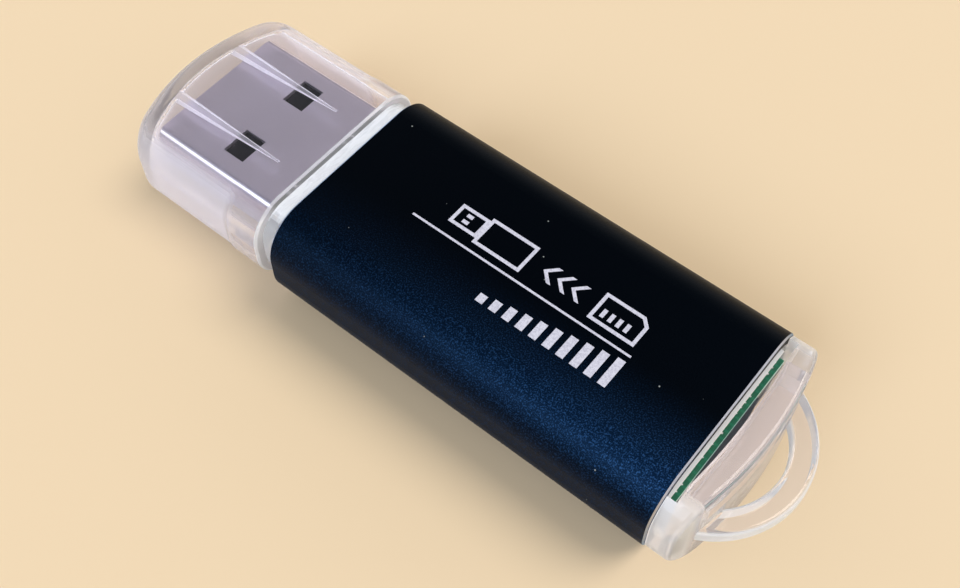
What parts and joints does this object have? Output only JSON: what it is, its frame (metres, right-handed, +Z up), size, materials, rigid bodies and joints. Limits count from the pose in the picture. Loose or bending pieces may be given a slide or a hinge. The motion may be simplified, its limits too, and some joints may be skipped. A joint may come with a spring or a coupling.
{
  "type": "memory card reader",
  "caption": "Pocket memory card reader: a black metal sleeve over a clear carrier with a board, plug, card slot and lanyard loop, and a clear pull-off cap.",
  "frame": {"origin": "centre of the sleeve's flat bottom face", "axes": "+X along the length towards the lanyard loop, +Y across, +Z up from the rest face"},
  "size_m": [0.0548, 0.0174, 0.0082],
  "materials": {
    "sleeve_black": "black anodised, satin",
    "clear_plastic": "clear, moulded",
    "board_green": "solder mask",
    "plug_steel": "matte plated",
    "socket_steel": "bright plated",
    "insulator_black": "moulded",
    "chip_black": "moulded",
    "contact_gold": "plated",
    "capacitor_ceramic": "ceramic"
  },
  "bodies": {
    "body": {"sleeve": "sleeve_black", "carrier": "clear_plastic", "circuit_board": "board_green", "plug_shell": "plug_steel", "card_socket_shell": "socket_steel", "plug_tongue": "insulator_black", "card_socket_base": "insulator_black", "controller_chip": "chip_black", "crystal": "socket_steel", "plug_contact_1": "contact_gold", "plug_contact_2": "contact_gold", "plug_contact_3": "contact_gold", "plug_contact_4": "contact_gold", "card_contact_1": "contact_gold", "card_contact_2": "contact_gold", "card_contact_3": "contact_gold", "card_contact_4": "contact_gold", "card_contact_5": "contact_gold", "card_contact_6": "contact_gold", "card_contact_7": "contact_gold", "card_contact_8": "contact_gold", "capacitor_1": "capacitor_ceramic", "capacitor_2": "capacitor_ceramic", "capacitor_3": "capacitor_ceramic", "resistor_1": "chip_black", "resistor_2": "chip_black"},
    "cap": {"cap": "clear_plastic"}
  },
  "joints": [
    {"name": "cap_pull", "type": "slide", "parent": "body", "child": "cap", "axis": [-1, 0, 0], "range_m": [0, 0.02]}
  ]
}
